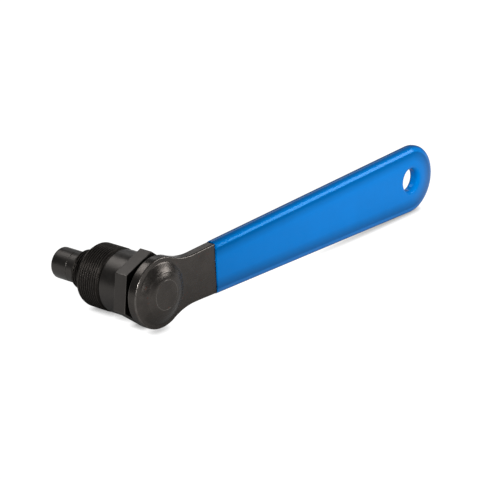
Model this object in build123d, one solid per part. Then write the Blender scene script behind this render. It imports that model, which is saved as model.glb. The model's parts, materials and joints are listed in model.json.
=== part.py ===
from build123d import *
import os
from math import cos, radians, sin, sqrt

# Crank puller for square taper bicycle cranks, with a fixed, vinyl dipped handle.
# Sizes are in millimetres and angles in degrees.
# Each piece is drawn with the screw's axis on Y, its tip towards +Y, and the handle along +X from that axis.
# The back face of the handle bar, which faces the puller body, lies at Y = 0.
# At the end the pieces are laid on their edge together, as the tool comes to rest on a bench.

# Handle bar, forged in one with its domed boss
head_radius = 12.2
bar_thickness = 3.5
bar_length = 148.6
bar_end_radius = 12.5
bar_taper = 1.88
bar_edge_radius = 0.5
neck_radius = 22.0
boss_height = 2.5
boss_inset = 1.7
boss_flat_radius = 5.4
boss_bulge = 0.23

# Vinyl grip, dip moulded on the bar and through its hang hole
grip_start = 26.6
grip_wall = 0.5
grip_edge_radius = 1.8
grip_lip_radius = 0.25
hang_hole_radius = 4.3
hang_hole_from_end = 13.7
hang_hole_rim_radius = 1.5

# Puller body, a hexagon with a threaded barrel in front of it
hex_across_flats = 22.3
hex_width = 5.2
hex_corner_angle = -51.3
hex_edge_chamfer = 0.25
handle_gap = 1.9
shank_radius = 10.83
shank_length = 7.3
relief_radius = 10.3
relief_width = 1.8
crank_thread_radius = 11.0
crank_thread_length = 9.2
crank_thread_chamfer = 0.6
body_bore_chamfer = 0.5

# Drive screw, staked into the handle's boss
screw_radius = 7.0
screw_thread_showing = 7.0
screw_end_chamfer = 0.7
screw_runout_radius = 6.1
screw_runout_width = 1.2
screw_clearance = 0.05
nose_radius = 5.5
nose_length = 3.7
neck_round_radius = 4.8
neck_across_flats = 8.0
stake_radius = 5.1
stake_depth = 0.7

# Turns of both threads, drawn as rings with a flat crest and a sharp root
thread_pitch = 1.0
thread_depth = 0.61
thread_crest_width = 0.125

# Swivel tip and the snap ring that keeps its stem in the screw
tip_length = 7.2
tip_end_radius = 0.6
seam_chamfer = 0.18
thrust_clearance = 0.05
stem_radius = 2.6
stem_length = 9.0
stem_end_chamfer = 0.4
stem_clearance = 0.05
stem_hole_spare = 0.8
ring_wire_radius = 0.5
ring_from_seam = 5.0
ring_clearance = 0.05
ring_depth_in_stem = 0.55
ring_gap_angle = 50.0

# Places along the screw's axis, counted from the handle's back face
boss_top = -bar_thickness - boss_height
hex_back = handle_gap
hex_front = hex_back + hex_width
relief_back = hex_front + shank_length
thread_back = relief_back + relief_width
thread_front = thread_back + crank_thread_length
screw_thread_back = screw_runout_width + screw_radius - screw_runout_radius
screw_end = thread_front + screw_thread_showing
seam = screw_end + nose_length
tip_back = seam + thrust_clearance
tip_end = tip_back + tip_length
ring_place = seam - ring_from_seam

# Sizes that follow from the fits
bore_radius = screw_radius + screw_clearance
stem_hole_radius = stem_radius + stem_clearance
stem_hole_depth = stem_length + stem_hole_spare
ring_middle_radius = stem_radius - ring_depth_in_stem + ring_wire_radius
ring_groove_half = ring_wire_radius + ring_clearance
stem_groove_radius = ring_middle_radius - ring_groove_half
hole_groove_radius = ring_middle_radius + ring_groove_half
bar_hole_radius = hang_hole_radius + grip_wall
hang_hole_x = bar_length + grip_wall - hang_hole_from_end
bar_end_x = bar_length - bar_end_radius


def turned(points):
    """A solid turned about the screw's axis from an outline of (radius, place along the axis) points."""
    outline = make_face(Polyline(*points, close=True))
    return revolve(outline, Axis.Y)


def thread_turns(radius, back, front):
    """The outline of a thread's turns on a shaft of this radius, from one place on the axis to another."""
    half_groove = (thread_pitch - thread_crest_width) / 2
    turns = int((front - back) / thread_pitch)
    points = [(radius, back)]
    for turn in reversed(range(turns)):
        root = front - thread_crest_width - half_groove - turn * thread_pitch
        points.append((radius, root - half_groove))
        points.append((radius - thread_depth, root))
        points.append((radius, root + half_groove))
    return [*points, (radius, front)]


def flat_outline(growth):
    """The handle's outline in its own plane, grown by this much all round."""
    slope = radians(bar_taper)
    along = Vector(cos(slope), sin(slope))
    outward = Vector(-sin(slope), cos(slope))
    side = bar_end_radius - sin(slope) * bar_end_x
    reach = sqrt((head_radius + neck_radius) ** 2 - (side + neck_radius) ** 2)
    neck_centre = along * reach + outward * (side + neck_radius)
    head_point = neck_centre.normalized() * (head_radius + growth)
    neck_end = along * reach + outward * (side + growth)
    to_neck_middle = (head_point - neck_centre).normalized() + (neck_end - neck_centre).normalized()
    neck_middle = neck_centre + to_neck_middle.normalized() * (neck_radius - growth)
    end_point = Vector(bar_end_x, 0) + outward * (bar_end_radius + growth)
    side_run = [ThreePointArc(head_point, neck_middle, neck_end), Line(neck_end, end_point)]
    head_end = Vector(head_point.X, -head_point.Y)
    far_end = Vector(end_point.X, -end_point.Y)
    outline = [
        ThreePointArc(head_end, Vector(-head_radius - growth, 0), head_point),
        *side_run,
        ThreePointArc(end_point, Vector(bar_length + growth, 0), far_end),
        *[mirror(run, Plane.XZ).edge() for run in side_run],
    ]
    return make_face(outline)


def flat_plane(place):
    """The handle's plane at this place on the axis, with X along the handle, facing the boss side."""
    return Plane(origin=(0, place, 0), x_dir=(1, 0, 0), z_dir=(0, -1, 0))


def slab(growth):
    """The handle's outline, grown all round by this much, as a square edged slab."""
    return extrude(flat_plane(growth) * flat_outline(growth), bar_thickness + 2 * growth)


def rim_edges(solid):
    """The edges round a slab's two flat faces."""
    faces = solid.faces().filter_by(Axis.Y).sort_by(Axis.Y)
    return faces[0].edges() + faces[-1].edges()


def make_boss():
    """The low dome on the head: a round cap with a flat top for the staked end of the screw."""
    foot = Vector(head_radius - boss_inset, -bar_thickness)
    top = Vector(boss_flat_radius, boss_top)
    outward = Vector(boss_height, boss_flat_radius - foot.X).normalized()
    shoulder = (foot + top) / 2 + outward * boss_bulge
    outline = [
        Line((0, 0), (foot.X, 0)),
        Line((foot.X, 0), foot),
        ThreePointArc(foot, shoulder, top),
        Line(top, (0, boss_top)),
        Line((0, boss_top), (0, 0)),
    ]
    return revolve(make_face(outline), Axis.Y)


def round_hang_hole(solid, radius):
    """The solid with both rims of its hang hole rounded."""
    wall = solid.faces().sort_by_distance((hang_hole_x, -bar_thickness / 2, 0))[0]
    return fillet(wall.edges().filter_by(GeomType.CIRCLE), radius)


def make_drive_screw():
    """The screw: threaded shank, bored nose for the tip's stem, and a flat sided neck staked at its end."""
    shank = turned(
        [
            (0, 0),
            (screw_runout_radius, 0),
            (screw_runout_radius, screw_runout_width),
            *thread_turns(screw_radius, screw_thread_back, screw_end - screw_end_chamfer),
            (screw_radius - screw_end_chamfer, screw_end),
            (nose_radius, screw_end),
            (nose_radius, seam - seam_chamfer),
            (nose_radius - seam_chamfer, seam),
            (0, seam),
        ]
    )
    stem_hole = turned(
        [
            (0, seam - stem_hole_depth),
            (stem_hole_radius, seam - stem_hole_depth),
            (stem_hole_radius, ring_place - ring_groove_half),
            (hole_groove_radius, ring_place - ring_groove_half),
            (hole_groove_radius, ring_place + ring_groove_half),
            (stem_hole_radius, ring_place + ring_groove_half),
            (stem_hole_radius, seam),
            (0, seam),
        ]
    )
    neck_section = Circle(neck_round_radius) & Rectangle(2 * neck_round_radius, neck_across_flats)
    neck = extrude(flat_plane(0) * neck_section, -boss_top)
    stake = turned(
        [
            (0, boss_top),
            (stake_radius, boss_top),
            (neck_across_flats / 2, boss_top + stake_depth),
            (0, boss_top + stake_depth),
        ]
    )
    return shank - stem_hole + neck + stake


def make_handle_bar(drive_screw):
    """The steel bar: flat and round edged, with boss, hang hole and the hole for the screw's neck."""
    bar = slab(0)
    bar = fillet(rim_edges(bar), bar_edge_radius)
    hang_hole = flat_plane(0) * Pos(hang_hole_x, 0) * Circle(bar_hole_radius)
    bar = bar - extrude(hang_hole, bar_thickness)
    bar = round_hang_hole(bar, bar_edge_radius)
    return bar + make_boss() - drive_screw


def make_vinyl_grip(handle_bar):
    """The grip: a soft edged skin over the bar past its neck, closed at the end and lining the hang hole."""
    start = Plane(origin=(grip_start, 0, 0), z_dir=(1, 0, 0))
    skin = split(slab(grip_wall), start, keep=Keep.TOP)
    long_edges = [edge for edge in rim_edges(skin) if edge.center().X > grip_start + grip_lip_radius]
    skin = fillet(long_edges, grip_edge_radius)
    start_face = skin.faces().sort_by(Axis.X)[0]
    skin = fillet(start_face.edges(), grip_lip_radius)
    hang_hole = flat_plane(grip_wall) * Pos(hang_hole_x, 0) * Circle(hang_hole_radius)
    skin = skin - extrude(hang_hole, bar_thickness + 2 * grip_wall)
    skin = round_hang_hole(skin, hang_hole_rim_radius)
    return skin - handle_bar


def make_puller_body():
    """The body: a hexagon for a wrench, a plain shank, a relief and the thread that screws into the crank."""
    barrel = turned(
        [
            (0, hex_back),
            (shank_radius, hex_back),
            (shank_radius, relief_back),
            (relief_radius, relief_back + shank_radius - relief_radius),
            (relief_radius, thread_back - crank_thread_chamfer),
            (crank_thread_radius - crank_thread_chamfer, thread_back - crank_thread_chamfer),
            *thread_turns(crank_thread_radius, thread_back, thread_front - crank_thread_chamfer),
            (crank_thread_radius - crank_thread_chamfer, thread_front),
            (0, thread_front),
        ]
    )
    section = RegularPolygon(hex_across_flats / 2, 6, major_radius=False, rotation=90 - hex_corner_angle)
    hexagon = extrude(flat_plane(hex_front) * section, hex_width)
    hexagon = chamfer(rim_edges(hexagon), hex_edge_chamfer)
    bore = turned(
        [
            (0, hex_back),
            (bore_radius + body_bore_chamfer, hex_back),
            (bore_radius, hex_back + body_bore_chamfer),
            (bore_radius, thread_front - body_bore_chamfer),
            (bore_radius + body_bore_chamfer, thread_front),
            (0, thread_front),
        ]
    )
    return barrel + hexagon - bore


def make_swivel_tip():
    """The tip that bears on the spindle, with a grooved stem that turns in the screw's nose."""
    tip = turned(
        [
            (0, tip_back),
            (nose_radius - seam_chamfer, tip_back),
            (nose_radius, tip_back + seam_chamfer),
            (nose_radius, tip_end),
            (0, tip_end),
        ]
    )
    end_edge = tip.edges().filter_by(GeomType.CIRCLE).sort_by(Axis.Y)[-1]
    tip = fillet(end_edge, tip_end_radius)
    stem_end = tip_back - stem_length
    stem = turned(
        [
            (0, stem_end),
            (stem_radius - stem_end_chamfer, stem_end),
            (stem_radius, stem_end + stem_end_chamfer),
            (stem_radius, ring_place - ring_groove_half),
            (stem_groove_radius, ring_place - ring_groove_half),
            (stem_groove_radius, ring_place + ring_groove_half),
            (stem_radius, ring_place + ring_groove_half),
            (stem_radius, tip_back),
            (0, tip_back),
        ]
    )
    return tip + stem


def make_snap_ring():
    """The open ring of round wire that lies half in the stem's groove and half in the screw's."""
    wire = Pos(ring_middle_radius, ring_place) * Circle(ring_wire_radius)
    return revolve(wire, Axis.Y, 360 - ring_gap_angle)


def lowest_on_circle(x, place, radius, up):
    """The point of a circle round the screw's axis, or shifted along the handle, that lies lowest."""
    sideways = Vector(up.X, 0, up.Z).normalized()
    return Vector(x, place, 0) - sideways * radius


def lowest(points, up):
    """The lowest of these points."""
    return min(points, key=up.dot)


def resting_direction():
    """The upward direction when the tool lies on its edge, on head or hexagon, thread and grip."""
    hex_corner_radius = hex_across_flats / sqrt(3)
    hex_places = (hex_back + hex_edge_chamfer, hex_front - hex_edge_chamfer)
    hex_angles = [radians(hex_corner_angle + 60 * turn) for turn in range(6)]
    hex_points = [
        Vector(hex_corner_radius * sin(angle), place, hex_corner_radius * cos(angle))
        for place in hex_places
        for angle in hex_angles
    ]
    up = Vector(0, 0, 1)
    for _ in range(20):
        head_places = (-bar_edge_radius, bar_edge_radius - bar_thickness)
        head_points = [lowest_on_circle(0, place, head_radius, up) for place in head_places]
        near = lowest(hex_points + head_points, up)
        front = lowest_on_circle(0, thread_front - crank_thread_chamfer, crank_thread_radius, up)
        inner = bar_end_radius + grip_wall - grip_edge_radius
        grip_places = (grip_wall - grip_edge_radius, grip_edge_radius - grip_wall - bar_thickness)
        grip_points = [lowest_on_circle(bar_end_x, place, inner, up) for place in grip_places]
        far = lowest(grip_points, up) - up * grip_edge_radius
        up = (far - near).cross(front - near).normalized()
    return up


drive_screw = make_drive_screw()
handle_bar = make_handle_bar(drive_screw)
pieces = {
    "puller_body": make_puller_body(),
    "drive_screw": drive_screw,
    "swivel_tip": make_swivel_tip(),
    "tip_snap_ring": make_snap_ring(),
    "handle_bar": handle_bar,
    "vinyl_grip": make_vinyl_grip(handle_bar),
}

# The row's frame: origin on the screw's axis at the middle of the crank thread, Z up, X along the handle
rest_up = resting_direction()
rest_along = Vector(1, 0, 0) - rest_up * rest_up.X
thread_middle = Vector(0, (thread_back + thread_front) / 2, 0)
bench = Plane(origin=thread_middle, x_dir=rest_along, z_dir=rest_up)

os.makedirs("parts", exist_ok=True)
for name, piece in pieces.items():
    export_step(bench.to_local_coords(piece), f"parts/{name}.step")
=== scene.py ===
import json
from math import atan2, ceil, cos, floor, pi, radians, sin, sqrt, tan

import bmesh
import bpy
import numpy as np
from mathutils import Matrix, Vector, noise


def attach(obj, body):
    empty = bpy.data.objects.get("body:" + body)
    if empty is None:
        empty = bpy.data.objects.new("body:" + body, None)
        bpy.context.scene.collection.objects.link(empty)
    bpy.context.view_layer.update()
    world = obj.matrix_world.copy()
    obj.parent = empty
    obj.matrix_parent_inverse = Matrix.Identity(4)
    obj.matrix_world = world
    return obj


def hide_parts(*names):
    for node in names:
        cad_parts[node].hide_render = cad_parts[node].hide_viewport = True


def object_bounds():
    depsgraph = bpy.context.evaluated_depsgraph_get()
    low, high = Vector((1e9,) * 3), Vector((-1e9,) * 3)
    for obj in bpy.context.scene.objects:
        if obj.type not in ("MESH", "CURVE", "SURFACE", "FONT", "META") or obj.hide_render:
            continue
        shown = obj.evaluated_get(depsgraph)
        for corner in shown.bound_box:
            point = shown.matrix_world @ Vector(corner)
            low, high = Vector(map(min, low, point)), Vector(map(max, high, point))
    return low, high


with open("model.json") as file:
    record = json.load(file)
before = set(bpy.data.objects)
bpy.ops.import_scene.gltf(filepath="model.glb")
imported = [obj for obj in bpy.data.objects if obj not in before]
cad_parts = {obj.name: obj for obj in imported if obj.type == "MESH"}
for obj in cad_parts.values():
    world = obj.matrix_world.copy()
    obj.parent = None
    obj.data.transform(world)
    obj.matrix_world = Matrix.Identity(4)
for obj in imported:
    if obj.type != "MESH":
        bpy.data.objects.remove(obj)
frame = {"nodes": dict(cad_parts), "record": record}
cad_low, cad_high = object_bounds()

# Crank puller with a vinyl dipped handle, lying on its edge on a white table.
# Pieces are drawn in millimetres with the screw's axis on Y, its tip towards +Y, and the handle along +X.
# The back face of the handle bar lies at Y = 0. Everything is then laid in the row's frame, in metres.
mm = 0.001

# Handle bar: the CAD part's sizes, and finer ones for the boss
head_radius = 12.2
bar_thickness = 3.5
bar_length = 148.6
bar_end_radius = 12.5
bar_taper = radians(1.88)
bar_edge_radius = 0.5
neck_radius = 22.0
boss_height = 2.5
boss_inset = 1.7
boss_flat_radius = 5.4
boss_blend = 0.10
boss_foot_room = 0.7
boss_ring_radius = 7.6
boss_ring_height = 0.035
boss_ring_width = 0.25
stake_groove = 0.06

# Slight waves of the forged bar: (height, size)
bar_waves = [(0.05, 6.0), (0.02, 1.7)]

# Vinyl grip
grip_start = 26.6
grip_wall = 0.5
grip_edge_radius = 1.9
grip_lip_radius = 0.3
hang_hole_radius = 4.3
hang_hole_from_end = 13.7
hang_hole_rim_radius = 1.5

# Shading of the vinyl by the distance inside its outline: bead, face that falls to it, painted shade at the
# border
vinyl_border_start = 0.3
vinyl_bead_start = 0.95
vinyl_bead_end = 1.9
vinyl_bead_fade = 0.4
vinyl_bead_rise = 0.237
vinyl_fall = 0.89
vinyl_fall_end = 8.5
# Painted shade: a darker band inside the vinyl's border, where the dipped skin is also thinner
vinyl_painted_shade_start = 2.6
vinyl_painted_shade_end = 6.0
vinyl_painted_shade_share = 0.40

# Puller body
hex_across_flats = 22.3
hex_width = 5.2
hex_corner_angle = radians(-51.3)
hex_edge_radius = 0.22
hex_corner_radius = 0.35
handle_gap = 1.9
shank_radius = 10.83
shank_length = 7.3
shank_foot_radius = 0.18
shank_foot_room = 0.2
relief_radius = 10.3
relief_width = 1.8
relief_rounding = 0.3
crank_thread_radius = 11.0
crank_thread_length = 9.2
crank_thread_chamfer = 0.6
body_bore_chamfer = 0.5

# Drive screw
screw_radius = 7.0
screw_thread_showing = 7.0
screw_runout_radius = 6.1
screw_runout_width = 1.2
screw_clearance = 0.05
nose_radius = 5.5
nose_length = 3.7
neck_round_radius = 4.8
neck_across_flats = 8.0
stake_radius = 5.1
stake_depth = 0.7

# Swivel tip
tip_length = 7.2
tip_end_radius = 0.6
seam_chamfer = 0.18
thrust_clearance = 0.05
stem_radius = 2.6
stem_length = 9.0
stem_clearance = 0.05
stem_end_radius = 0.3
stem_end_room = 0.2

# Both threads have this pitch and profile: (share of the pitch, share of the depth below the crest)
pitch = 1.0
thread_depth = 0.6134 * pitch
thread_profile = [
    (0.0, 1.0), (0.07, 0.97), (0.12, 0.88), (0.405, 0.06), (0.44, 0.0),
    (0.56, 0.0), (0.595, 0.06), (0.88, 0.88), (0.93, 0.97),
]

# Fineness of the meshes
weld_distance = 0.0005
least_face_distance = 0.02
sharp_angle = radians(35.0)
thread_sharp_angle = radians(50.0)
turned_columns = 121
across_steps = 12
edge_steps = 6
face_steps = 6
lip_steps = 4
end_block_length = 12.5

# Places along the screw's axis and along the handle
boss_top = -bar_thickness - boss_height
hex_back = handle_gap
hex_front = hex_back + hex_width
relief_back = hex_front + shank_length
thread_back = relief_back + relief_width
thread_front = thread_back + crank_thread_length
screw_end = thread_front + screw_thread_showing
seam = screw_end + nose_length
tip_back = seam + thrust_clearance
tip_end = tip_back + tip_length
hang_hole_x = bar_length + grip_wall - hang_hole_from_end
bar_end_x = bar_length - bar_end_radius

# Camera, fitted to the photograph in the drawing's frame
camera_turn = radians(-47.69)
camera_lift = radians(20.905)
camera_roll = radians(-2.514)
camera_distance = 594.6
camera_right = 28.08
camera_up = 16.55
focal_pixels = 1825.0
picture_pixels = 480
sensor_width = 36.0

# Table and studio: reaches of shadows in millimetres, places across the table in metres.
# Mirrored in the steel, the table is lighter near the front left and darker far back on the right.
table_size = 12.0
close_shadow_reach = 2.2
close_shadow_light = 0.2
wide_shadow_reach = 100.0
mirrored_near = 0.76
mirrored_far = 0.35
mirrored_near_place = 0.05
mirrored_far_place = 0.22
studio_glow = 0.10

# The drawing's frame in the row's frame, from the mounts of the record
mounts = {mount["name"]: mount for mount in frame["record"]["mounts"]}
screw_axis = Vector(mounts["crank_thread"]["axis"]).normalized()
thread_middle = Vector(mounts["crank_thread"]["pos_m"])
to_hole = Vector(mounts["hang_hole"]["pos_m"]) - thread_middle
handle_way = (to_hole - to_hole.project(screw_axis)).normalized()
width_way = handle_way.cross(screw_axis)
drawn_turn = Matrix((handle_way, screw_axis, width_way)).transposed()
drawn_origin = thread_middle - screw_axis * ((thread_back + thread_front) / 2 * mm)
drawn_to_row = Matrix.Translation(drawn_origin) @ drawn_turn.to_4x4() @ Matrix.Scale(mm, 4)


# Mesh helpers

def make_piece(name, grids, materials, zones=(), crease=sharp_angle, ripples=()):
    """One welded, smooth mesh in the row's frame, with worn edges marked.

    Faces past the start of each zone along the screw's axis take the next material.
    """
    points = np.concatenate([grid.reshape(-1, 3) for grid in grids])
    faces = []
    start = 0
    for grid in grids:
        rows, columns = grid.shape[:2]
        index = np.arange(start, start + rows * columns).reshape(rows, columns)
        corners = (index[:-1, :-1], index[:-1, 1:], index[1:, 1:], index[1:, :-1])
        faces += np.stack(corners, axis=-1).reshape(-1, 4).tolist()
        start += rows * columns
    mesh = bpy.data.meshes.new(name)
    mesh.from_pydata(points.tolist(), [], faces)
    work = bmesh.new()
    work.from_mesh(mesh)
    bmesh.ops.remove_doubles(work, verts=work.verts, dist=weld_distance)
    bmesh.ops.recalc_face_normals(work, faces=work.faces)
    work.normal_update()
    for height, size in ripples:
        lifts = [height * noise.noise(vert.co / size) for vert in work.verts]
        for vert, lift in zip(work.verts, lifts):
            vert.co += vert.normal * lift
    work.normal_update()
    mark_wear(work)
    for face in work.faces:
        face.smooth = True
        face.material_index = sum(face.calc_center_median().y > zone for zone in zones)
    for edge in work.edges:
        edge.smooth = edge.calc_face_angle(0.0) < crease
    work.to_mesh(mesh)
    work.free()
    mesh.transform(drawn_to_row)
    for material in materials:
        mesh.materials.append(material)
    piece = bpy.data.objects.new(name, mesh)
    bpy.context.scene.collection.objects.link(piece)
    shading = piece.modifiers.new("even shading", "WEIGHTED_NORMAL")
    shading.keep_sharp = True
    return piece


def mark_wear(work):
    """Stores the outward bend at each vertex, in radians a millimetre, as the attribute wear."""
    wear = work.verts.layers.float.new("wear")
    for edge in work.edges:
        if len(edge.link_faces) != 2:
            continue
        first, second = (face.calc_center_median() for face in edge.link_faces)
        bend = edge.calc_face_angle_signed(0.0) / max((first - second).length, least_face_distance)
        for vert in edge.verts:
            vert[wear] = max(vert[wear], bend)


def rounded(corners, steps=6):
    """A (radius, place) outline with an arc instead of each corner that has a rounding radius."""
    outline = []
    for index, (radius, place, rounding) in enumerate(corners):
        corner = Vector((radius, place))
        if rounding == 0:
            outline.append((radius, place))
            continue
        before = (Vector(corners[index - 1][:2]) - corner).normalized()
        after = (Vector(corners[index + 1][:2]) - corner).normalized()
        half = before.angle(after) / 2
        middle = corner + (before + after).normalized() * (rounding / sin(half))
        first = (corner + before * (rounding / tan(half)) - middle).normalized()
        last = (corner + after * (rounding / tan(half)) - middle).normalized()
        for step in range(steps + 1):
            arm = first.slerp(last, step / steps)
            outline.append(tuple(middle + arm * rounding))
    return outline


# Turned pieces

def turned(angles, rows):
    """Points round the screw's axis: a row for each (radius, place), which may differ by angle."""
    radius = np.array([np.broadcast_to(row[0], angles.shape) for row in rows])
    place = np.array([np.broadcast_to(row[1], angles.shape) for row in rows])
    return np.stack([radius * np.sin(angles), place, radius * np.cos(angles)], axis=-1)


def thread_rows(angles, start, end, crest, inside=False):
    """Rows of a right hand thread between two places, run out at both ends as if by a chamfer."""
    turns = angles / (2 * pi)
    first = floor(start / pitch - turns.max()) - 1
    last = ceil(end / pitch - turns.min()) + 1
    rows = []
    for number in range(first, last):
        for share, sink in thread_profile:
            place = np.clip(pitch * (number + share + turns), start, end)
            from_end = np.minimum(place - start, end - place)
            radius = crest - thread_depth * sink
            if inside:
                radius = np.maximum(radius, crest - from_end)
            else:
                radius = np.minimum(radius, crest - thread_depth + from_end)
            rows.append((radius, place))
    return rows


def body_columns():
    """Angles round the body, closer together at the hexagon's corners, and the hexagon's reach at each."""
    near = np.array([0.0, 0.25, 0.5, 0.75, 1.3, 2.5, 5.0, 9.0, 14.0, 19.5, 25.0])
    one_side = np.concatenate([near, [30.0], 60.0 - near[:0:-1]])
    offsets = np.radians(np.concatenate([one_side + 60.0 * side for side in range(6)] + [[360.0]]))
    apothem = hex_across_flats / 2
    from_corner = np.abs((offsets + pi / 6) % (pi / 3) - pi / 6)
    flat = apothem / np.cos(pi / 6 - from_corner)
    middle = (apothem - hex_corner_radius) / cos(pi / 6)
    ends_at = atan2(hex_corner_radius / 2, middle + hex_corner_radius * cos(pi / 6))
    inside_arc = np.maximum(hex_corner_radius ** 2 - (middle * np.sin(from_corner)) ** 2, 0)
    corner = middle * np.cos(from_corner) + np.sqrt(inside_arc)
    return offsets + hex_corner_angle, np.where(from_corner < ends_at, corner, flat)


def make_puller_body(*materials):
    """Hexagon, shank, relief and crank thread, bored and threaded inside for the drive screw."""
    angles, reach = body_columns()
    bore = screw_radius + screw_clearance
    edge_turns = np.linspace(0, pi / 2, 5)
    shrink = [1 - hex_edge_radius * (1 - sin(turn)) / (hex_across_flats / 2) for turn in edge_turns]
    sink = [hex_edge_radius * (1 - cos(turn)) for turn in edge_turns]
    rows = [(bore + body_bore_chamfer, hex_back)]
    rows += [(reach * part, hex_back + deep) for part, deep in zip(shrink, sink)]
    rows += [(reach * part, hex_front - deep) for part, deep in zip(shrink[::-1], sink[::-1])]
    rows += rounded([
        (shank_radius + shank_foot_room, hex_front, 0),
        (shank_radius, hex_front, shank_foot_radius),
        (shank_radius, relief_back, relief_rounding),
        (relief_radius, relief_back + shank_radius - relief_radius, relief_rounding),
        (relief_radius, thread_back - crank_thread_chamfer, 0),
    ])
    rows += thread_rows(angles, thread_back - crank_thread_chamfer, thread_front, crank_thread_radius)
    rows += [(bore + body_bore_chamfer, thread_front)]
    inside_back = hex_back + body_bore_chamfer
    inside_front = thread_front - body_bore_chamfer
    rows += thread_rows(angles, inside_back, inside_front, bore, inside=True)[::-1]
    rows += [rows[0]]
    grids = [turned(angles, rows)]
    return make_piece("body_look", grids, materials, [relief_back], crease=thread_sharp_angle)


def screw_neck_reach(angles):
    """How far the screw's flat sided neck reaches at each angle round the axis."""
    flat = neck_across_flats / 2 / np.maximum(np.abs(np.cos(angles)), 1e-6)
    return np.minimum(neck_round_radius, flat)


def make_drive_screw(*materials):
    """The threaded screw, its bored nose, and its neck staked over at the boss."""
    angles = np.linspace(0, 2 * pi, turned_columns)
    neck = screw_neck_reach(angles)
    hole = stem_radius + stem_clearance
    rows = boss_rows(0.0, stake_radius - stake_groove * 2, count=40)
    rows += [(stake_radius - stake_groove, boss_top + stake_groove)]
    rows += [(neck, boss_top + stake_depth), (neck, 0.0)]
    rows += [(screw_runout_radius, 0.0), (screw_runout_radius, screw_runout_width)]
    rows += thread_rows(angles, screw_runout_width, screw_end, screw_radius)
    rows += rounded([
        (nose_radius, screw_end, 0),
        (nose_radius, seam, seam_chamfer),
        (hole, seam, 0),
        (hole, seam - stem_length, 0),
        (0, seam - stem_length, 0),
    ])
    grids = [turned(angles, rows)]
    return make_piece("screw_look", grids, materials, [0.0, screw_end], crease=thread_sharp_angle)


def make_swivel_tip(material):
    """The plain button at the end of the screw, on a stem that turns in the screw's nose."""
    angles = np.linspace(0, 2 * pi, turned_columns)
    stem_end = tip_back - stem_length + stem_end_room
    rows = rounded([
        (0, stem_end, 0),
        (stem_radius, stem_end, stem_end_radius),
        (stem_radius, tip_back, 0),
        (nose_radius, tip_back, seam_chamfer),
        (nose_radius, tip_end, tip_end_radius),
        (nose_radius / 2, tip_end, 0),
        (0, tip_end, 0),
    ])
    return make_piece("tip_look", [turned(angles, rows)], [material])


# Handle bar and grip: a flat plate with a round head, hollow neck, tapered sides and a round end

side = bar_end_radius - sin(bar_taper) * bar_end_x
neck_end = sqrt((head_radius + neck_radius) ** 2 - (side + neck_radius) ** 2)
along = np.array([cos(bar_taper), sin(bar_taper)])
outward = np.array([-sin(bar_taper), cos(bar_taper)])
mirrored = np.array([1.0, -1.0])
end_block_start = (hang_hole_x - end_block_length) * cos(bar_taper)


def arc_run(centre, radius, first, last, count):
    """Points and outward directions along an arc of the outline. A hollow arc has a negative radius."""
    turns = np.linspace(first, last, count)
    outwards = np.stack([np.cos(turns), np.sin(turns)], axis=-1)
    return np.asarray(centre) + radius * outwards, outwards


def straight_run(distances):
    """Points and outward directions at these distances along the upper side."""
    points = np.outer(distances, along) + outward * side
    return points, np.broadcast_to(outward, points.shape)


def both_sides(points, outwards):
    """An upper run that ends at the outline's far point, carried on backwards along the lower side."""
    lower = points[-2::-1] * mirrored
    lower_out = outwards[-2::-1] * mirrored
    return np.concatenate([points, lower]), np.concatenate([outwards, lower_out])


def edge_band(points, outwards, growth, rounding):
    """Rows round the plate's edge from its front face to its back face, with both corners rounded."""
    growth = np.broadcast_to(growth, len(points))
    rounding = np.broadcast_to(rounding, len(points))
    front_corner = []
    back_corner = []
    for turn in np.linspace(0, pi / 2, edge_steps + 1):
        offset = growth - rounding * (1 - sin(turn))
        from_face = rounding * (1 - cos(turn))
        front_corner.append((offset, -bar_thickness - growth + from_face))
        back_corner.append((offset, growth - from_face))
    band = []
    for offset, place in front_corner + back_corner[::-1]:
        flat = points + outwards * offset[:, None]
        band.append(np.stack([flat[:, 0], place, flat[:, 1]], axis=-1))
    return np.array(band)


def bars_across(lower, upper):
    """Points in straight lines from a lower run to the upper run above it."""
    shares = np.linspace(0, 1, across_steps + 1)[:, None, None]
    return lower + (upper - lower) * shares


def tapered_part(distances, growth, rounding):
    """Both faces and both edges of the plate's straight part, as grids."""
    points, outwards = straight_run(np.asarray(distances))
    upper = edge_band(points, outwards, growth, rounding)
    lower = upper * np.array([1.0, 1.0, -1.0])
    return [upper, lower, bars_across(lower[0], upper[0]), bars_across(lower[-1], upper[-1])]


def ring_part(run, centre, radius, steps):
    """Grid from a run of the outline, closed by a straight line, to a circle inside it, and its angles."""
    closing = bars_across(run[-1:], run[:1])[1:, 0]
    outer = np.concatenate([run, closing])
    turns = np.arctan2(outer[:, 2], outer[:, 0] - centre)
    circle = ring_row(turns, centre, radius, outer[0, 1])
    shares = np.linspace(0, 1, steps + 1)[:, None, None]
    return outer + (circle - outer) * shares, turns


def ring_row(turns, centre, radius, place):
    """Points round a centre on the handle's middle line, at these angles."""
    x = centre + radius * np.cos(turns)
    z = radius * np.sin(turns)
    return np.stack([x, np.broadcast_to(place, x.shape), z], axis=-1)


def ring_rows(turns, centre, rows):
    """A row of points round a centre for each (radius, place)."""
    return np.array([ring_row(turns, centre, radius, place) for radius, place in rows])


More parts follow.
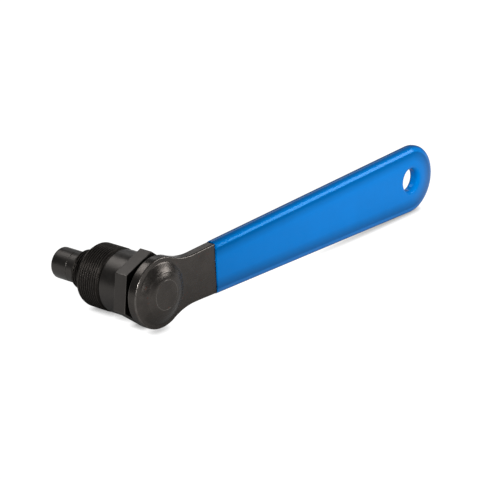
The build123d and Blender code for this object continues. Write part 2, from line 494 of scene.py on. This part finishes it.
def end_part(growth, rounding, hole_radius, rim):
    """The plate's round end as grids: edge, both faces, and the wall of the hang hole with rounded rims."""
    distances = np.linspace(end_block_start, bar_end_x * cos(bar_taper), 9)[:-1]
    first, first_out = straight_run(distances)
    arc, arc_out = arc_run((bar_end_x, 0), bar_end_radius, pi / 2 + bar_taper, 0, count=33)
    upper = np.concatenate([first, arc])
    upper_out = np.concatenate([first_out, arc_out])
    points, outwards = both_sides(upper, upper_out)
    band = edge_band(points, outwards, growth, rounding)
    front, turns = ring_part(band[0], hang_hole_x, hole_radius + rim, face_steps)
    back = ring_part(band[-1], hang_hole_x, hole_radius + rim, face_steps)[0]
    front_rim = []
    back_rim = []
    for turn in np.linspace(0, pi / 2, edge_steps + 1):
        radius = hole_radius + rim * (1 - sin(turn))
        from_face = rim * (1 - cos(turn))
        front_rim.append((radius, -bar_thickness - growth + from_face))
        back_rim.append((radius, growth - from_face))
    wall = ring_rows(turns, hang_hole_x, front_rim + back_rim[::-1])
    return [band, front, back, wall]


def boss_rise(radius):
    """Height of the boss above the bar's face: a round cap blended into the face and into a flat top."""
    foot = head_radius - boss_inset
    sunk = (foot ** 2 - boss_flat_radius ** 2 - boss_height ** 2) / (2 * boss_height)
    cap = np.sqrt(foot ** 2 + sunk ** 2 - radius ** 2) - sunk
    rise = boss_blend * np.log1p(np.exp(cap / boss_blend))
    return -boss_blend * np.log(np.exp(-rise / boss_blend) + np.exp(-boss_height / boss_blend))


def boss_rows(first, last, count):
    """Rows of the boss from one distance from the axis to another, with a faint ring on its slope."""
    radius = np.linspace(first, last, count)
    ring = boss_ring_height * np.exp(-(((radius - boss_ring_radius) / boss_ring_width) ** 2))
    return list(zip(radius, -bar_thickness - boss_rise(radius) - ring))


def make_handle_bar(material):
    """The forged bar: head with its domed boss, neck, straight part and pierced end."""
    neck_centre = along * neck_end + outward * (side + neck_radius)
    head_turn = atan2(neck_centre[1], neck_centre[0])
    neck, neck_out = arc_run(neck_centre, -neck_radius, pi / 2 + bar_taper, head_turn, count=19)
    head, head_out = arc_run((0, 0), head_radius, head_turn, pi, count=41)
    upper = np.concatenate([neck[:-1], head])
    upper_out = np.concatenate([neck_out[:-1], head_out])
    points, outwards = both_sides(upper, upper_out)
    band = edge_band(points, outwards, 0.0, bar_edge_radius)
    boss_foot = head_radius - boss_inset + boss_foot_room
    boss = boss_rows(boss_foot, stake_radius, count=56)
    boss.append((stake_radius - stake_groove, boss_top + stake_groove))
    front, turns = ring_part(band[0], 0.0, boss_foot, steps=2)
    back = ring_part(band[-1], 0.0, screw_runout_radius, face_steps)[0]
    hole = screw_neck_reach(pi / 2 - turns)
    boss += [(hole, boss_top + stake_depth), (hole, 0.0), (screw_runout_radius, 0.0)]
    distances = np.linspace(neck_end, end_block_start, 70)
    grids = [band, front, back, ring_rows(turns, 0.0, boss)]
    grids += tapered_part(distances, 0.0, bar_edge_radius)
    grids += end_part(0.0, bar_edge_radius, hang_hole_radius + grip_wall, 0.0)
    return make_piece("bar_look", grids, [material], ripples=bar_waves)


def make_vinyl_grip(material):
    """The dipped skin over the bar: outside, rounded lip at its start, and inside against the steel."""
    lip = np.linspace(0, pi / 2, lip_steps + 1)[1:]
    distances = [end_block_start, grip_start, grip_start]
    growth = [0.0, 0.0, grip_wall - grip_lip_radius]
    distances += [grip_start + grip_lip_radius * (1 - cos(turn)) for turn in lip]
    growth += [grip_wall - grip_lip_radius * (1 - sin(turn)) for turn in lip]
    outside = np.linspace(grip_start + grip_lip_radius, end_block_start, 72)[1:]
    distances += outside.tolist()
    growth += [grip_wall] * len(outside)
    rise = np.array(growth) / grip_wall
    rounding = bar_edge_radius + (grip_edge_radius - bar_edge_radius) * rise
    grids = tapered_part(distances, np.array(growth), rounding)
    grids += end_part(grip_wall, grip_edge_radius, hang_hole_radius, hang_hole_rim_radius)
    grids += end_part(0.0, bar_edge_radius, hang_hole_radius + grip_wall, 0.0)
    grip = make_piece("grip_look", grids, [material])
    mark_edge(grip)
    return grip


def mark_edge(grip):
    """Stores how far inside the grip's outline each vertex lies, in millimetres, as the attribute edge."""
    values = grip.data.attributes.new("edge", "FLOAT", "POINT").data
    row_to_drawn = drawn_to_row.inverted()
    for vert, value in zip(grip.data.vertices, values):
        spot = row_to_drawn @ vert.co
        from_end = np.array([spot.x - bar_end_x, abs(spot.z)])
        if from_end @ along > 0:
            value.value = bar_end_radius + grip_wall - np.hypot(*from_end)
        else:
            value.value = bar_end_radius + grip_wall - from_end @ outward


# Materials

class Shader:
    """A material's node tree with short ways to add the nodes used here."""

    def __init__(self, name):
        self.material = bpy.data.materials.new(name)
        self.material.use_nodes = True
        self.nodes = self.material.node_tree.nodes
        self.links = self.material.node_tree.links
        self.surface = self.nodes["Principled BSDF"]
        self.place = self.nodes.new("ShaderNodeTexCoord").outputs["Object"]

    def add(self, kind, inputs=None, **settings):
        """A new node with these inputs and settings."""
        node = self.nodes.new(kind)
        for key, value in settings.items():
            setattr(node, key, value)
        for key, value in (inputs or {}).items():
            self.put(node.inputs[key], value)
        return node

    def put(self, socket, value):
        """Links a node's output to the socket, or sets a plain value on it."""
        if isinstance(value, bpy.types.NodeSocket):
            self.links.new(value, socket)
        else:
            socket.default_value = value

    def give(self, key, value):
        """Links or sets an input of the surface."""
        self.put(self.surface.inputs[key], value)

    def noise(self, size, detail=3.0, roughness=0.55):
        """Clouds about this many millimetres across, from 0 to 1."""
        scale = 1 / (size * mm)
        inputs = {"Vector": self.place, "Scale": scale, "Detail": detail, "Roughness": roughness}
        return self.add("ShaderNodeTexNoise", inputs).outputs["Fac"]

    def span(self, value, low, high, to_low=0.0, to_high=1.0):
        """The value carried from one range to another, kept inside it."""
        inputs = {"Value": value, "From Min": low, "From Max": high, "To Min": to_low, "To Max": to_high}
        return self.add("ShaderNodeMapRange", inputs).outputs["Result"]

    def openness(self, reach):
        """How free the space within this many millimetres of the surface is, from 0 to 1."""
        inputs = {"Distance": reach * mm}
        return self.add("ShaderNodeAmbientOcclusion", inputs, samples=8).outputs["AO"]

    def times(self, first, second):
        return self.add("ShaderNodeMath", {0: first, 1: second}, operation="MULTIPLY").outputs[0]

    def plus(self, first, second):
        return self.add("ShaderNodeMath", {0: first, 1: second}, operation="ADD").outputs[0]

    def blend(self, share, first, second):
        """A colour between two colours."""
        mix = self.add("ShaderNodeMix", data_type="RGBA")
        self.put(mix.inputs["Factor"], share)
        self.put(mix.inputs["A"], first)
        self.put(mix.inputs["B"], second)
        return mix.outputs["Result"]

    def bump(self, height, distance, under=None):
        """Relief of this depth in millimetres, on top of another relief."""
        inputs = {"Height": height, "Distance": distance * mm, "Strength": 1.0}
        if under is not None:
            inputs["Normal"] = under
        return self.add("ShaderNodeBump", inputs).outputs["Normal"]


def colour(red, green, blue):
    return (red, green, blue, 1.0)


def worn_steel(name, dark, light, rough, grain, rub, rust):
    """Mottled satin steel, lighter where its edges are rubbed, with a few rusty specks."""
    rubbed_colour = colour(0.30, 0.28, 0.26)
    rust_colour = colour(0.13, 0.035, 0.022)
    shader = Shader(name)
    wear = shader.add("ShaderNodeAttribute", attribute_name="wear").outputs["Fac"]
    clouds = shader.noise(5.0, detail=5.0, roughness=0.6)
    specks = shader.noise(0.5, detail=3.0, roughness=0.6)
    mottled = shader.plus(shader.times(clouds, 0.65), shader.times(specks, 0.35))
    tone = shader.blend(shader.span(mottled, 0.35, 0.65), dark, light)
    patchy = shader.span(shader.noise(1.6, detail=4.0, roughness=0.65), 0.35, 0.6, 0.45, 1.0)
    rubbed = shader.times(shader.times(shader.span(wear, 0.4, 1.6), patchy), rub)
    rubbed_tone = shader.blend(rubbed, tone, rubbed_colour)
    rusty = shader.span(shader.noise(1.1), 0.66, 0.74, 0.0, rust)
    shader.give("Base Color", shader.blend(rusty, rubbed_tone, rust_colour))
    shader.give("Metallic", 1.0)
    shader.give("Roughness", shader.span(mottled, 0.35, 0.65, rough - 0.05, rough + 0.07))
    uneven = shader.bump(shader.noise(1.8, detail=2.0), grain * 5)
    fine = shader.bump(specks, grain, uneven)
    shader.give("Normal", shader.bump(shader.noise(0.16, detail=2.0), grain * 0.4, fine))
    return shader.material


def blue_vinyl():
    """Glossy dip moulded vinyl. Its faces fall softly to a bead, and a band inside its border has painted
    shade.
    """
    deep_blue = colour(0.0, 0.172, 0.560)
    light_blue = colour(0.0, 0.182, 0.592)
    painted_shade_blue = colour(0.0, 0.006, 0.030)
    shader = Shader("blue vinyl")
    tone = shader.blend(shader.span(shader.noise(14.0), 0.35, 0.65), deep_blue, light_blue)
    edge = shader.add("ShaderNodeAttribute", attribute_name="edge").outputs["Fac"]
    before_bead = shader.span(edge, vinyl_border_start, vinyl_bead_start, 1.0, 0.0)
    past_bead = shader.span(edge, vinyl_bead_end, vinyl_bead_end + vinyl_bead_fade)
    # Painted shade: the base colour darkens in a band inside the border, but not on the bead
    painted_shade = shader.span(edge, vinyl_painted_shade_start, vinyl_painted_shade_end, vinyl_painted_shade_share, 0.0)
    painted_shade = shader.times(painted_shade, shader.plus(before_bead, past_bead))
    shader.give("Base Color", shader.blend(painted_shade, tone, painted_shade_blue))
    shader.give("Specular IOR Level", 0.20)
    shader.give("Specular Tint", colour(0.0, 0.50, 1.0))
    shader.give("Roughness", shader.span(shader.noise(1.5), 0.3, 0.7, 0.07, 0.10))
    climb = shader.span(edge, vinyl_bead_start, vinyl_bead_end)
    bead = shader.span(shader.times(climb, climb), 0.0, 1.0, 0.0, vinyl_bead_rise)
    near = shader.span(edge, vinyl_bead_end, vinyl_fall_end, 1.0, 0.0)
    crown = shader.span(shader.times(near, near), 0.0, 1.0, vinyl_fall, 0.0)
    fall = shader.bump(shader.plus(bead, crown), 1.0)
    shader.give("Normal", shader.bump(shader.noise(1.6, detail=2.0), 0.001, fall))
    return shader.material


forged = worn_steel(
    "forged black steel", dark=colour(0.055, 0.050, 0.046), light=colour(0.078, 0.070, 0.064),
    rough=0.26, grain=0.006, rub=0.25, rust=0.7,
)
turned_steel = worn_steel(
    "turned black steel", dark=colour(0.053, 0.049, 0.046), light=colour(0.070, 0.065, 0.061),
    rough=0.33, grain=0.003, rub=0.18, rust=0.0,
)
# Painted shade: the threads take a much darker steel, standing for the shade in their grooves
threaded = worn_steel(
    "thread steel with painted groove shade", dark=colour(0.019, 0.017, 0.015), light=colour(0.025, 0.022, 0.020),
    rough=0.46, grain=0.003, rub=0.17, rust=0.0,
)
spring_wire = worn_steel(
    "spring wire", dark=colour(0.32, 0.31, 0.30), light=colour(0.38, 0.37, 0.36),
    rough=0.30, grain=0.002, rub=0.2, rust=0.0,
)
vinyl = blue_vinyl()

# The pieces, each on the body it moves with, in place of its CAD node
looks = [
    (make_puller_body(turned_steel, threaded), "puller_body", "puller_body", "black_steel"),
    (make_drive_screw(forged, threaded, turned_steel), "handle", "drive_screw", "black_steel"),
    (make_swivel_tip(turned_steel), "swivel_tip", "swivel_tip", "black_steel"),
    (make_handle_bar(forged), "handle", "handle_bar", "black_steel"),
    (make_vinyl_grip(vinyl), "handle", "vinyl_grip", "blue_vinyl"),
]
for piece, body, node, slot in looks:
    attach(piece, body)
    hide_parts(node)
snap_ring = frame["nodes"]["tip_snap_ring"]
snap_ring.data.materials.clear()
snap_ring.data.materials.append(spring_wire)


# Stage: table, lights and camera

def make_table():
    """A wide grey table that looks white with close shadows, and that the steel mirrors darker."""
    shader = Shader("white table")
    path = shader.add("ShaderNodeLightPath").outputs
    close = shader.span(shader.openness(close_shadow_reach), 0.0, 1.0, close_shadow_light, 1.0)
    wide = shader.openness(wide_shadow_reach)
    mirrored_too = shader.plus(path["Is Glossy Ray"], path["Is Transmission Ray"])
    across = shader.add("ShaderNodeSeparateXYZ", {"Vector": shader.place}).outputs
    back_right = shader.plus(across["X"], across["Y"])
    falling_off = shader.span(
        back_right, mirrored_near_place, mirrored_far_place, mirrored_near, mirrored_far
    )
    mirrored_glow = shader.times(shader.times(mirrored_too, shader.times(wide, wide)), falling_off)
    seen = shader.plus(shader.times(path["Is Camera Ray"], close), mirrored_glow)
    shader.give("Base Color", colour(0.20, 0.195, 0.19))
    shader.give("Roughness", 0.9)
    shader.give("Specular IOR Level", 0.0)
    shader.give("Emission Color", colour(1.0, 1.0, 1.0))
    shader.give("Emission Strength", seen)
    bpy.ops.mesh.primitive_plane_add(size=table_size, location=(0, 0, cad_low.z))
    table = bpy.context.object
    table.name = "table"
    table.data.materials.append(shader.material)


def add_softbox(name, place, target, width, height, power, spread=180.0):
    """A rectangular soft light that faces a point, in metres, its beam narrowed to a spread in degrees."""
    light = bpy.data.lights.new(name, "AREA")
    light.shape = "RECTANGLE"
    light.size = width
    light.size_y = height
    light.energy = power
    light.spread = radians(spread)
    lamp = bpy.data.objects.new(name, light)
    bpy.context.scene.collection.objects.link(lamp)
    lamp.location = place
    lamp.rotation_euler = (Vector(target) - Vector(place)).to_track_quat("-Z", "Y").to_euler()


def add_camera():
    """The camera at the photograph's angle."""
    level_share = cos(camera_lift)
    back = Vector((sin(camera_turn) * level_share, -cos(camera_turn) * level_share, sin(camera_lift)))
    right = Vector((cos(camera_turn), sin(camera_turn), 0))
    level = Matrix((right, back.cross(right), back)).transposed()
    turn = level @ Matrix.Rotation(camera_roll, 3, "Z")
    lens = bpy.data.cameras.new("camera")
    lens.sensor_width = sensor_width
    lens.lens = focal_pixels * sensor_width / picture_pixels
    lens.clip_start = 0.01
    lens.clip_end = 50.0
    camera = bpy.data.objects.new("camera", lens)
    bpy.context.scene.collection.objects.link(camera)
    place = drawn_to_row @ (turn @ Vector((camera_right, camera_up, camera_distance)))
    camera.matrix_world = Matrix.Translation(place) @ (drawn_turn @ turn).to_4x4()
    bpy.context.scene.camera = camera


def make_world():
    """A dim studio, twice as light where the camera sees it or the steel mirrors it."""
    world = bpy.data.worlds.new("studio")
    world.use_nodes = True
    nodes = world.node_tree.nodes
    links = world.node_tree.links
    path = nodes.new("ShaderNodeLightPath").outputs
    background = nodes["Background"].inputs
    background["Color"].default_value = colour(1.0, 1.0, 1.0)
    glow = None
    for kind in ("Is Camera Ray", "Is Glossy Ray", "Is Transmission Ray"):
        step = nodes.new("ShaderNodeMath")
        step.operation = "MULTIPLY_ADD"
        links.new(path[kind], step.inputs[0])
        step.inputs[1].default_value = studio_glow
        if glow is None:
            step.inputs[2].default_value = studio_glow
        else:
            links.new(glow, step.inputs[2])
        glow = step.outputs[0]
    links.new(glow, background["Strength"])
    return world


make_table()
tool_middle = (0.03, 0.0, 0.0)
add_softbox(
    "front softbox", place=(-0.30, -0.58, 0.29), target=(0.135, 0.0, 0.02),
    width=0.20, height=0.20, power=0.185, spread=24.0,
)
add_softbox(
    "right softbox", place=(0.50, -0.46, 0.23), target=tool_middle, width=0.32, height=0.13, power=1.25,
)
add_softbox(
    "top softbox", place=(-0.05, 0.44, 0.55), target=tool_middle, width=0.40, height=0.20, power=1.2,
)
add_softbox(
    "back softbox", place=(0.48, 0.42, 0.28), target=tool_middle, width=0.30, height=0.12, power=0.11,
)
add_camera()

scene = bpy.context.scene
scene.view_settings.view_transform = "Standard"
scene.world = make_world()
